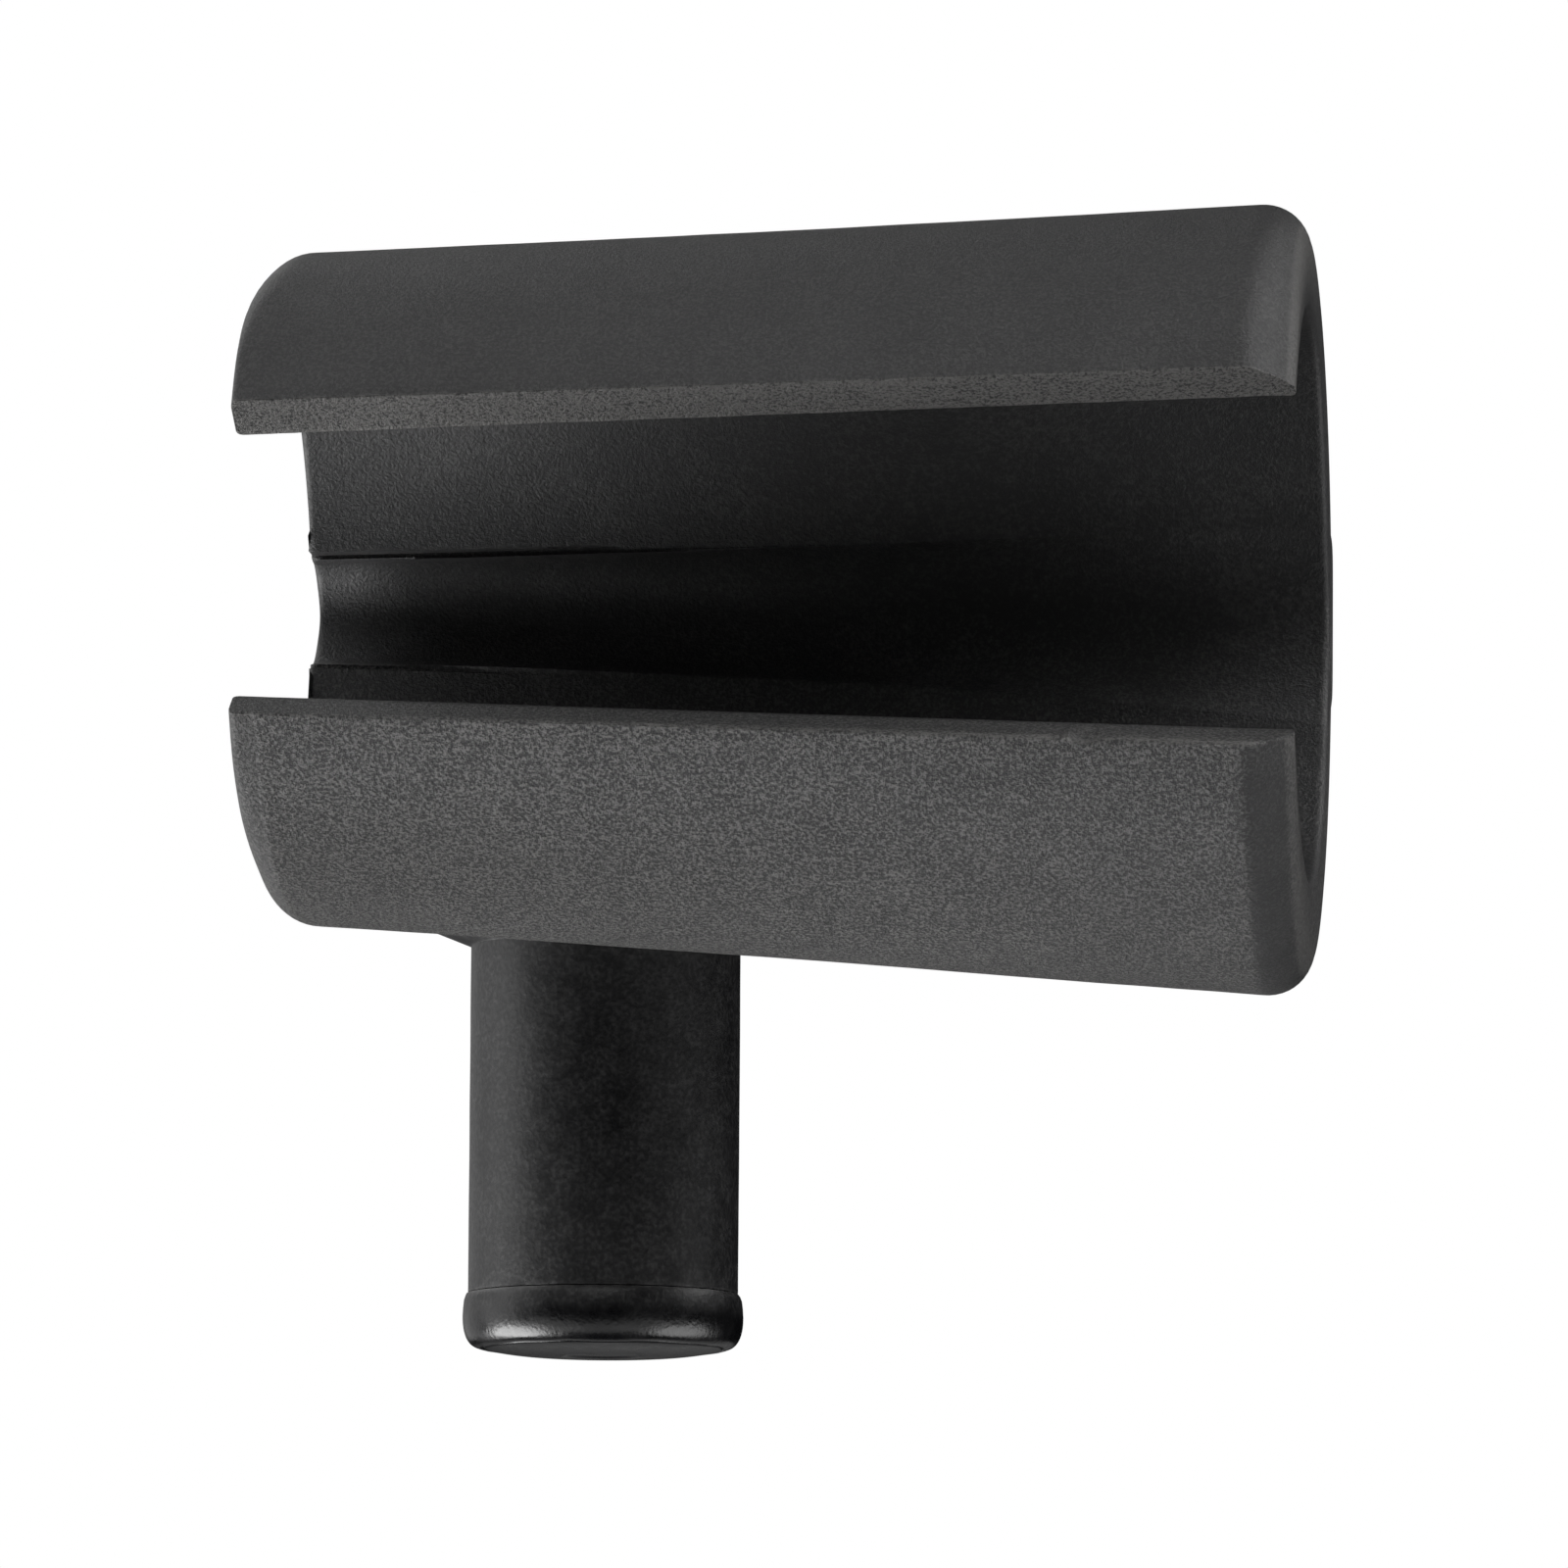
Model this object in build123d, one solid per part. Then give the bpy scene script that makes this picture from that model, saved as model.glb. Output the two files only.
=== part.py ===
"""Swivel clip: a tapered C-shaped sleeve that snaps over a round tube, on a spigot.

Frame: the tube's axis is X, and the spigot's axis is vertical, behind the tube. The origin
is on the tube's axis, level with the spigot along X. The sleeve's mouth faces -Y, its
larger end points to +X, and the spigot hangs down. Millimetres throughout.
"""

from build123d import *
from math import radians, tan
import os

# ---- Driving dimensions -------------------------------------------------------------

TUBE_R = 12.5              # the sleeve snaps over a 25 mm tube
SPIGOT_R = 6.0             # the spigot is 12 mm across
SPIGOT_Y = 14.0            # its axis stands this far behind the tube's axis
SHORT_END = 13.3           # from the spigot's axis along X to the sleeve's small end
LONG_END = 32.3            # and to its large end
FOOT_SEAM_Z = -29.4        # where the spigot ends and its foot cap begins
CLEARANCE = 0.05           # running clearance around the swivel, radial and axial

# Sleeve: its outline at each end is half an ellipse in front and half behind.
SMALL_R, LARGE_R = 14.65, 17.38              # reach up and down
SMALL_FRONT_R, LARGE_FRONT_R = 14.94, 14.36  # reach towards the mouth
SMALL_BACK_R, LARGE_BACK_R = 13.8, 16.6      # reach backwards
WAIST = 0.1                # how far the taper bows in halfway along
SMALL_RISE = 0.53          # the outside is centred above the bore at the small end
LARGE_DROP = 0.2           # and below it at the large end
END_ROUND = 2.1            # rounding of the outside at both ends
BORE_ROUND = 0.28          # rounding of the bore's two rims

# Mouth: the gap between the two jaws, wider at the large end.
SMALL_GAP, LARGE_GAP = 11.2, 14.35           # between the lips, at the bore
SMALL_LIP_ANGLE, LARGE_LIP_ANGLE = 27.0, 22.0   # slope of the lip faces, in degrees
MOUTH_RISE = 0.25          # the mouth's middle is this far above the tube's axis

# Groove along the back of the bore: narrow, deep and high at the small end, and wide,
# shallow and level with the tube's axis at the large one. A spine along the sleeve's back
# covers it.
GROOVE_HALF_WIDTHS = (2.25, 3.0, 4.35)       # at the small end, the middle, the large end
GROOVE_DEPTHS = (2.85, 1.6, 0.4)
GROOVE_RISES = (1.1, 0.7, 0.0)               # the groove's middle above the tube's axis
SPINE_HALF_WIDTH = 3.6
SPINE_RISE = 0.6           # the spine's middle above the tube's axis
SMALL_SPINE_Y, LARGE_SPINE_Y = 16.1, 17.5    # the spine's back
SPINE_ROUND = 1.1
SPINE_END_ROUND = 1.0      # rounding of the spine's back at both ends

# Swivel: a boss behind the sleeve turns on the spigot's flange. A shoulder screw from
# below holds the two together.
BOSS_R = 7.9
BOSS_Z = -12.2             # the boss's flat underside
BOSS_SHOULDER_Z = -7.0     # above this the boss tapers into the spine
BOSS_TOP_R, BOSS_TOP_Z = 2.7, 2.6
POCKET_R = 8.15            # pocket under the sleeve that the flange turns in
FLANGE_R = 7.9
FLANGE_RIM = 0.55          # thickness of the flange's rim
FLANGE_ROOT_Z = -13.87     # where its conical underside meets the spigot
WASHER_THICK = 0.35
SHOULDER_R = 2.5           # shoulder screw: 5 mm shoulder, M4 thread
THREAD_R = 2.0
THREAD_LENGTH = 4.6
HEAD_R, HEAD_THICK = 3.2, 2.2
HEX_ACROSS, HEX_DEPTH = 2.5, 1.3
BUSH_R, BUSH_LENGTH = 3.2, 8.0
HEAD_WASHER_R, HEAD_WASHER_THICK = 3.45, 0.5
INSERT_R, INSERT_LENGTH = 2.8, 4.8
INSERT_WAIST = 0.3         # depth and half width of the insert's waist groove

# Spigot core and foot cap.
CORE_R = 3.6               # the spigot is hollow below its bush
CAP_STEM = 4.2             # the cap's stem reaches this far up into the core
CAP_SEAM_R = 6.08          # the cap's radius at the seam
CAP_BELLY_R, CAP_BELLY_DROP = 6.24, 1.15     # its widest radius, and how far down that is
CAP_FACE_R, CAP_FACE_DROP = 5.4, 2.46        # the rim of its domed end
CAP_DOME = 0.34            # height of the dome
GATE_R, GATE_DEPTH = 1.65, 0.12              # shallow recess in the middle of the dome

# ---- Places that follow from them ---------------------------------------------------

FLANGE_Z = BOSS_Z - CLEARANCE - WASHER_THICK        # the flange's flat top
BUSH_BOTTOM_Z = FLANGE_Z - BUSH_LENGTH              # the spigot's inner shoulder
HEAD_WASHER_Z = BUSH_BOTTOM_Z - HEAD_WASHER_THICK   # underside of the head washer
HEAD_Z = HEAD_WASHER_Z - CLEARANCE                  # where the screw's shoulder ends
INSERT_TOP_Z = BOSS_Z + INSERT_LENGTH
INSERT_WAIST_Z = BOSS_Z + INSERT_LENGTH / 2
SLEEVE_LENGTH = SHORT_END + LONG_END
MIDDLE_X = (LONG_END - SHORT_END) / 2
OVERRUN = 2.0              # how far cutting tools stand out of what they cut


def post_cylinder(radius, low_z, high_z):
    """A solid cylinder on the spigot's axis, between two heights."""
    return Pos(0, SPIGOT_Y, (low_z + high_z) / 2) * Cylinder(radius, high_z - low_z)


def cross_plane(x, y=0, z=0):
    """A plane across the tube's axis, its own axes along Y and Z."""
    return Plane(origin=(x, y, z), x_dir=(0, 1, 0), z_dir=(1, 0, 0))


# ---- The sleeve ---------------------------------------------------------------------

def outside_section(x, radius, front_radius, back_radius, centre_z):
    """The sleeve's outline at one place along it."""
    behind = EllipticalCenterArc((0, 0), back_radius, radius, -90, arc_size=180)
    in_front = EllipticalCenterArc((0, 0), front_radius, radius, 90, arc_size=180)
    return cross_plane(x, 0, centre_z) * make_face([behind, in_front])


def sleeve_outside():
    """The tapered outside, rounded over at both ends."""
    body = loft([
        outside_section(-SHORT_END, SMALL_R, SMALL_FRONT_R, SMALL_BACK_R, SMALL_RISE),
        outside_section(MIDDLE_X, (SMALL_R + LARGE_R) / 2 - WAIST,
                        (SMALL_FRONT_R + LARGE_FRONT_R) / 2,
                        (SMALL_BACK_R + LARGE_BACK_R) / 2, (SMALL_RISE - LARGE_DROP) / 2),
        outside_section(LONG_END, LARGE_R, LARGE_FRONT_R, LARGE_BACK_R, -LARGE_DROP),
    ])
    ends = body.faces().filter_by(GeomType.PLANE)
    return fillet(ends.edges(), END_ROUND)


def spine():
    """The rounded rib along the sleeve's back."""
    inner_y = TUBE_R + BORE_ROUND
    outline = Polyline((-SHORT_END, inner_y), (-SHORT_END, SMALL_SPINE_Y),
                       (LONG_END, LARGE_SPINE_Y), (LONG_END, inner_y), close=True)
    bar = extrude(make_face(outline), SPINE_HALF_WIDTH, both=True)
    bar = fillet(bar.faces().sort_by(Axis.Y)[-1].edges().filter_by(Axis.Z), SPINE_END_ROUND)
    sides = bar.faces().filter_by(Axis.Z)
    front_y = inner_y + 0.01
    back_edges = sides.edges().filter_by(lambda edge: edge.center().Y > front_y)
    return Pos(0, 0, SPINE_RISE) * fillet(back_edges, SPINE_ROUND)


def swivel_boss():
    """The boss behind the sleeve, which tapers upwards into the spine."""
    base = post_cylinder(BOSS_R, BOSS_Z, BOSS_SHOULDER_Z)
    taper = Cone(BOSS_R, BOSS_TOP_R, BOSS_TOP_Z - BOSS_SHOULDER_Z)
    return base + Pos(0, SPIGOT_Y, (BOSS_TOP_Z + BOSS_SHOULDER_Z) / 2) * taper


def bore():
    """The space for the tube, with both rims rounded outwards."""
    solid = Pos(MIDDLE_X, 0, 0) * Rot(0, 90, 0) * Cylinder(TUBE_R, SLEEVE_LENGTH + 2 * OVERRUN)
    rim_r = TUBE_R + BORE_ROUND
    for end_x, outwards in ((-SHORT_END, -1), (LONG_END, 1)):
        start_x, far_x = end_x - outwards * BORE_ROUND, end_x + outwards * OVERRUN
        middle = BORE_ROUND * (1 - 0.5 ** 0.5)
        outline = make_face([
            ThreePointArc((start_x, TUBE_R), (end_x - outwards * middle, TUBE_R + middle),
                          (end_x, rim_r)),
            Polyline((end_x, rim_r), (far_x, rim_r), (far_x, 0), (start_x, 0),
                     (start_x, TUBE_R)),
        ])
        solid += revolve(outline, Axis.X)
    return solid


def mouth_section(x, gap, lip_angle):
    """The mouth's outline at one place: it opens towards -Y along the lip faces."""
    lip_z = gap / 2
    lip_y = -(TUBE_R ** 2 - lip_z ** 2) ** 0.5
    slope = tan(radians(lip_angle))
    inner_y, outer_y = -TUBE_R / 2, -(LARGE_R + OVERRUN)
    inner_z = lip_z - (inner_y - lip_y) * slope
    outer_z = lip_z + (lip_y - outer_y) * slope
    corners = [(inner_y, -inner_z), (outer_y, -outer_z), (outer_y, outer_z), (inner_y, inner_z)]
    return cross_plane(x, 0, MOUTH_RISE) * make_face(Polyline(corners, close=True))


def groove_section(x, half_width, depth, rise):
    """A circle that cuts the groove's outline into the back of the bore."""
    wall_y = (TUBE_R ** 2 - half_width ** 2) ** 0.5
    floor_y = TUBE_R + depth
    height = floor_y - wall_y
    radius = (half_width ** 2 + height ** 2) / (2 * height)
    return cross_plane(x, floor_y - radius, rise) * Circle(radius)


def jaw_sleeve():
    """The C-shaped sleeve with its two jaws, groove, spine and swivel boss."""
    body = sleeve_outside() + spine() + swivel_boss()

    body -= bore()

    stations = (-SHORT_END - 0.01, MIDDLE_X, LONG_END + 0.01)
    body -= loft([
        groove_section(x, half_width, depth, rise)
        for x, half_width, depth, rise
        in zip(stations, GROOVE_HALF_WIDTHS, GROOVE_DEPTHS, GROOVE_RISES)
    ])
    body -= loft([
        mouth_section(-SHORT_END - 0.01, SMALL_GAP, SMALL_LIP_ANGLE),
        mouth_section(LONG_END + 0.01, LARGE_GAP, LARGE_LIP_ANGLE),
    ], ruled=True)

    body -= post_cylinder(POCKET_R, BOSS_Z - LARGE_R, BOSS_Z)
    return body - post_cylinder(INSERT_R, BOSS_Z - 1, INSERT_TOP_Z) + insert_waist_rib()


def insert_waist_rib():
    """The ring of boss plastic that fills the insert's waist groove."""
    low_z, high_z = INSERT_WAIST_Z - INSERT_WAIST, INSERT_WAIST_Z + INSERT_WAIST
    ring = post_cylinder(INSERT_R, low_z, high_z)
    return ring - post_cylinder(INSERT_R - INSERT_WAIST, low_z - 1, high_z + 1)


# ---- The swivel ---------------------------------------------------------------------

def thread_insert():
    """Brass insert set into the boss, with a waist groove that the plastic fills."""
    body = post_cylinder(INSERT_R, BOSS_Z, INSERT_TOP_Z) - insert_waist_rib()
    return body - post_cylinder(THREAD_R, BOSS_Z - 1, INSERT_TOP_Z + 1)


def pivot_screw():
    """Shoulder screw: its thread is in the boss and its head is inside the spigot."""
    thread = post_cylinder(THREAD_R, BOSS_Z, BOSS_Z + THREAD_LENGTH)
    thread = chamfer(thread.edges().sort_by(Axis.Z)[-1], 0.4)
    shoulder = post_cylinder(SHOULDER_R, HEAD_Z, BOSS_Z)
    head = post_cylinder(HEAD_R, HEAD_Z - HEAD_THICK, HEAD_Z)
    head = chamfer(head.edges().sort_by(Axis.Z)[0], 0.25)
    socket = extrude(RegularPolygon(HEX_ACROSS / 2, 6, major_radius=False), HEX_DEPTH)
    return thread + shoulder + head - Pos(0, SPIGOT_Y, HEAD_Z - HEAD_THICK) * socket


def thrust_washer():
    """Slippery washer between the boss and the spigot's flange."""
    ring = post_cylinder(FLANGE_R - 0.4, FLANGE_Z, FLANGE_Z + WASHER_THICK)
    return ring - post_cylinder(SHOULDER_R + 2 * CLEARANCE, FLANGE_Z - 1, BOSS_Z)


def pivot_bush():
    """Bush in the spigot's top that the screw's shoulder turns in."""
    bush = post_cylinder(BUSH_R, BUSH_BOTTOM_Z, FLANGE_Z)
    return bush - post_cylinder(SHOULDER_R + CLEARANCE, BUSH_BOTTOM_Z - 1, FLANGE_Z + 1)


def head_washer():
    """Washer between the screw's head and the spigot's inner shoulder."""
    ring = post_cylinder(HEAD_WASHER_R, HEAD_WASHER_Z, BUSH_BOTTOM_Z)
    return ring - post_cylinder(SHOULDER_R + 2 * CLEARANCE, HEAD_Z, BUSH_BOTTOM_Z + 1)


# ---- The spigot and its foot --------------------------------------------------------

def spigot():
    """The post, with a flange on top whose underside is a shallow cone."""
    rim_z = FLANGE_Z - FLANGE_RIM
    post = post_cylinder(SPIGOT_R, FOOT_SEAM_Z, FLANGE_Z)
    post += post_cylinder(FLANGE_R, rim_z, FLANGE_Z)
    cone = Cone(SPIGOT_R, FLANGE_R, rim_z - FLANGE_ROOT_Z)
    post += Pos(0, SPIGOT_Y, (rim_z + FLANGE_ROOT_Z) / 2) * cone
    post -= post_cylinder(BUSH_R, BUSH_BOTTOM_Z - 1, FLANGE_Z + 1)
    return post - post_cylinder(CORE_R, FOOT_SEAM_Z - 1, BUSH_BOTTOM_Z)


def foot_cap():
    """The rounded cap pressed into the foot of the hollow spigot."""
    belly_z = FOOT_SEAM_Z - CAP_BELLY_DROP
    face_z = FOOT_SEAM_Z - CAP_FACE_DROP
    bottom_z = face_z - CAP_DOME
    outline = [
        Line((0, FOOT_SEAM_Z), (CAP_SEAM_R, FOOT_SEAM_Z)),
        ThreePointArc((CAP_SEAM_R, FOOT_SEAM_Z),
                      (CAP_BELLY_R - 0.04, FOOT_SEAM_Z - CAP_BELLY_DROP / 2),
                      (CAP_BELLY_R, belly_z)),
        EllipticalCenterArc((CAP_FACE_R, belly_z), CAP_BELLY_R - CAP_FACE_R,
                            belly_z - face_z, -90, arc_size=90),
        ThreePointArc((CAP_FACE_R, face_z),
                      (CAP_FACE_R / 2, face_z - CAP_DOME * 0.75), (0, bottom_z)),
        Line((0, bottom_z), (0, FOOT_SEAM_Z)),
    ]
    cap = Pos(0, SPIGOT_Y, 0) * revolve(Plane.XZ * make_face(outline), Axis.Z)
    stem = post_cylinder(CORE_R, FOOT_SEAM_Z - 0.5, FOOT_SEAM_Z + CAP_STEM)
    stem = chamfer(stem.edges().sort_by(Axis.Z)[-1], 0.5)
    return cap + stem - post_cylinder(GATE_R, bottom_z - 1, bottom_z + GATE_DEPTH)


def main():
    """Write one STEP file for each piece."""
    pieces = [jaw_sleeve, thread_insert, pivot_screw, thrust_washer,
              pivot_bush, head_washer, spigot, foot_cap]
    os.makedirs("parts", exist_ok=True)
    for piece in pieces:
        export_step(piece(), f"parts/{piece.__name__}.step")


main()
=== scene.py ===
"""Looks for the swivel tube clip: a grained black sleeve on a smooth black spigot.

The sleeve, the spigot and its foot cap are built here as fine meshes with the marks that
moulding leaves: flash along the lips, ridges along the groove and a ragged seam. The five
pieces inside are the CAD nodes as they come, with materials added. Shape sizes below are in
millimetres, and every mesh is scaled to metres as it is made. The camera is set in millimetres
too, and the lights, the floor and the materials are set in metres.
"""

import bmesh
import bpy
import numpy as np
from mathutils import Matrix, Vector, noise


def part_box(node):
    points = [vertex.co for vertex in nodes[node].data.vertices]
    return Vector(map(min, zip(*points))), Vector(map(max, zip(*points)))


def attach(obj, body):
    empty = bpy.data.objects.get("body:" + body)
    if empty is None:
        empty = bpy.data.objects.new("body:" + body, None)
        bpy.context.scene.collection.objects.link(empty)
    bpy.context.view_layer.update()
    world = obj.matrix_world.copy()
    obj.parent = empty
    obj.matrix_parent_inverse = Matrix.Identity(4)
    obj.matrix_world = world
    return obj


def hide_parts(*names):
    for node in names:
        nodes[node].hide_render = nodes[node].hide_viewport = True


MM = 0.001

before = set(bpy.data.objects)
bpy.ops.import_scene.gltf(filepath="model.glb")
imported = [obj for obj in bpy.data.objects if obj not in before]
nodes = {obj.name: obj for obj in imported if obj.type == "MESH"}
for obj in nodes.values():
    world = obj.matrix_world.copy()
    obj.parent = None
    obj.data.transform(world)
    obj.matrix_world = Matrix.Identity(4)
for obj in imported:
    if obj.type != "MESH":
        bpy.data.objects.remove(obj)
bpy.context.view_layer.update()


def node_box(name):
    """A CAD node's lowest and highest corners, in millimetres."""
    low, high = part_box(name)
    return np.array(low) / MM, np.array(high) / MM


# ---- Sizes, from the frame and from the shape of the sleeve -------------------------------

sleeve_low, sleeve_high = node_box("jaw_sleeve")
spigot_low, spigot_high = node_box("spigot")
cap_low, cap_high = node_box("foot_cap")
washer_high = node_box("thrust_washer")[1]
insert_low, insert_high = node_box("thread_insert")
SMALL_X, LARGE_X = sleeve_low[0], sleeve_high[0]
MIDDLE_X, HALF_LENGTH = (SMALL_X + LARGE_X) / 2, (LARGE_X - SMALL_X) / 2
POST_Y = (spigot_low[1] + spigot_high[1]) / 2
TUBE_R = 12.5

# Each of these has its value at the small end, in the middle and at the large end.
UP_R = (14.64, 15.9, 17.365)
FRONT_R = (14.92, 14.64, 14.36)
BACK_R = (13.8, 15.2, 16.6)
CENTRE_Z = (0.53, 0.165, -0.2)
SPINE_Y = (16.1, 16.8, 17.5)
LIP_GAP = (11.2, 12.775, 14.35)
LIP_SLOPE = (0.5095, 0.4568, 0.404)
GROOVE_WIDTH = (2.25, 3.0, 4.35)
GROOVE_DEPTH = (2.85, 1.6, 0.4)
GROOVE_RISE = (1.1, 0.7, 0.0)
SPINE_RISE = 0.6

MOUTH_RISE = 0.25
END_ROUND, BORE_ROUND = 2.1, 0.28
LIP_END_ROUND = 0.35           # at the lips of the small end, which is nearly square there
SPINE_END_ROUND = 1.0          # at the small end of the spine
CHAMFER_POWER = 1.3            # the large end's front is nearly a chamfer: 1 is flat, 2 round
END_MARGIN = 0.4               # beyond the end's rounding, before the straight part's stations
END_THICKNESS = 0.14           # of the rim where the end's rounding meets the bore
SPINE_HALF_WIDTH = 3.7

BREAK = 0.41                   # the share of the spokes below the spine, and of those above it
SPOKES = 250                   # points along the outside, and along the bore
LIP_POINTS = 13                # points across a lip
STATIONS = 128                 # along the straight part
END_STATIONS = 12              # in each end

BOSS_R = 7.9
BOSS_UNDER_Z = washer_high[2] + 0.05       # just clear of the thrust washer
POCKET_R, POCKET_DEPTH = 8.15, 12.0        # of the space below the boss, for the flange

SHANK_R, FLANGE_RIM = 6.0, 0.55
ROOT_Z = -13.87                # where the shank meets the underside of the flange
HIDDEN_R = 3.6                 # inside it, each face at the seam is one flat face, out of sight
SEAM_Z = spigot_low[2]
CAP_FACE_R = 5.4               # of the crease round the foot's domed end


def along(x, values):
    """The value at x of something given at the small end, the middle and the large end."""
    small, middle, large = values
    place = (x - MIDDLE_X) / HALF_LENGTH
    return middle + (large - small) / 2 * place + ((large + small) / 2 - middle) * place ** 2


def round_in(depth, radius, power=2.0):
    """How far a rounding of that radius draws a surface in, at a depth from the end."""
    left = np.clip(1 - depth / radius, 0, 1)
    return radius * (1 - (1 - left ** power) ** (1 / power))


def graded(marks, count, crowding, reach):
    """count places from 0 to 1, crowded round the marks."""
    fine = np.linspace(0, 1, 6001)
    weight = 1 + sum(crowding * np.exp(-(((fine - mark) / reach) ** 2)) for mark in marks)
    total = np.concatenate([[0], np.cumsum((weight[1:] + weight[:-1]) / 2)])
    return np.interp(np.linspace(0, total[-1], count), total, fine)


def smooth_step(value, low, high):
    """0 below low and 1 above high, with a smooth rise between them."""
    share = np.clip((value - low) / (high - low), 0, 1)
    return share * share * (3 - 2 * share)


def wander(points, size, seed):
    """Smooth noise from -1 to 1 at each point, whose bumps are about size across."""
    shift = Vector((seed * 17.3, seed * 5.7, seed * 11.1))
    return np.array([noise.noise(Vector(p) / size + shift) for p in points.reshape(-1, 3)]
                    ).reshape(points.shape[:-1])


def wander_1d(places, size, seed):
    """Smooth noise from -1 to 1 along a line."""
    return np.array([noise.noise(Vector((p / size, seed * 7.7, seed * 3.1))) for p in places])


# ---- The sleeve ---------------------------------------------------------------------------

def outside_point(x, depth, angle):
    """A point of the outside. The angle is 0 at the top and grows towards the back.

    The ends' rounding at the lips gives way to the usual one between two angles from the front.
    """
    front_zone, side_zone, spine_flatness, spine_fall = 0.6, 1.35, 5, 0.4
    from_front = np.arccos(np.clip(-np.sin(angle), -1, 1))
    to_side = smooth_step(from_front, front_zone, side_zone)
    small_round = LIP_END_ROUND + (END_ROUND - LIP_END_ROUND) * to_side
    drawn_in = np.where(x < MIDDLE_X, round_in(depth, small_round), round_in(
        depth, END_ROUND, CHAMFER_POWER + (2 - CHAMFER_POWER) * to_side))
    radius = along(x, UP_R) - drawn_in
    side = np.where(np.sin(angle) > 0, along(x, BACK_R), along(x, FRONT_R)) - drawn_in
    y = side * np.sin(angle)
    z = along(x, CENTRE_Z) + radius * np.cos(angle)
    share = np.clip(np.abs(z - SPINE_RISE) / SPINE_HALF_WIDTH, 0, 1)
    dome = np.maximum(1 - share ** spine_flatness, 0) ** spine_fall
    spine_y = along(x, SPINE_Y) - round_in(
        depth, np.where(x < MIDDLE_X, SPINE_END_ROUND, END_ROUND))
    in_spine = (np.sin(angle) > 0) & (share < 1)
    return np.where(in_spine, y + dome * np.maximum(spine_y - y, 0), y), z


def bore_point(x, depth, angle):
    """A point of the bore or its groove. The angle is 90 degrees at the back."""
    y, z = TUBE_R * np.sin(angle), TUBE_R * np.cos(angle)
    half_width, floor_y = along(x, GROOVE_WIDTH), TUBE_R + along(x, GROOVE_DEPTH)
    rise = floor_y - np.sqrt(TUBE_R ** 2 - half_width ** 2)
    radius = (half_width ** 2 + rise ** 2) / (2 * rise)
    from_middle = z - along(x, GROOVE_RISE)
    margin = 0.3
    in_groove = (np.abs(from_middle) < half_width + margin) & (y > 0)
    floor = floor_y - radius + np.sqrt(np.maximum(radius ** 2 - from_middle ** 2, 0))
    y = np.where(in_groove, np.maximum(floor, y), y)
    grown = 1 + round_in(depth, BORE_ROUND) / TUBE_R
    return y * grown, z * grown


def lip_angle(surface, x, depth, side):
    """The angle at which a surface meets the upper lip (side 1) or the lower one (side -1).

    It is found by halving the range it can be in, from the front to the top or the bottom.
    """
    halvings = 36
    gap, slope = along(x, LIP_GAP), along(x, LIP_SLOPE)
    lip_y = -np.sqrt(TUBE_R ** 2 - (gap / 2) ** 2)
    near, far = np.zeros_like(x), np.full_like(x, np.pi / 2)
    for _ in range(halvings):
        middle = (near + far) / 2
        angle = -middle if side > 0 else np.pi + middle
        y, z = surface(x, depth, angle)
        plane = MOUTH_RISE + side * (gap / 2 + slope * (lip_y - y))
        inside = side * (z - plane) > 0
        near, far = np.where(inside, middle, near), np.where(inside, far, middle)
    return -near if side > 0 else np.pi + near


def half_loop(surface, x, depth, place, low_turn, high_turn):
    """Points of a surface from the lower lip round the back to the upper one.

    The turns are the angles either side of the back where the spine or the groove begins.
    """
    low_lip, high_lip = lip_angle(surface, x, depth, -1), lip_angle(surface, x, depth, 1)
    below = low_lip + (low_turn - low_lip) * place / BREAK
    middle = low_turn + (high_turn - low_turn) * (place - BREAK) / (1 - 2 * BREAK)
    above = high_turn + (high_lip - high_turn) * (place - 1 + BREAK) / BREAK
    angle = np.where(place < BREAK, below, np.where(place > 1 - BREAK, above, middle))
    return surface(x, depth, angle)


def sleeve_spokes(x, depth, place):
    """The outside's and the bore's points for every station and spoke."""
    middle, reach = SPINE_RISE - along(x, CENTRE_Z), along(x, UP_R)
    low_turn = np.arccos((middle - SPINE_HALF_WIDTH) / reach)
    high_turn = np.arccos((middle + SPINE_HALF_WIDTH) / reach)
    outside = half_loop(outside_point, x, depth, place, low_turn, high_turn)
    rise, half_width = along(x, GROOVE_RISE), along(x, GROOVE_WIDTH)
    low_turn = np.arccos((rise - half_width) / TUBE_R)
    high_turn = np.arccos((rise + half_width) / TUBE_R)
    bore = half_loop(bore_point, x, depth, place, low_turn, high_turn)
    return outside, bore


def end_depths(end_x, inwards, place):
    """How far from its end plane the sleeve's rim is, for each spoke."""
    depth = np.linspace(0, END_ROUND, 120)[:, None] + 0 * place[None, :]
    x = end_x + inwards * depth
    (outer_y, outer_z), (bore_y, bore_z) = sleeve_spokes(x, depth, 0 * x + place[None, :])
    thickness = np.hypot(outer_y, outer_z) - np.hypot(bore_y, bore_z)
    enough = thickness >= END_THICKNESS
    first = np.argmax(enough, axis=0)
    rim = depth[first, np.arange(len(place))]
    half_window = 4
    kernel = np.ones(2 * half_window + 1) / (2 * half_window + 1)
    padded = np.concatenate([rim[:1].repeat(half_window), rim, rim[-1:].repeat(half_window)])
    return np.convolve(padded, kernel, "valid")


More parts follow.
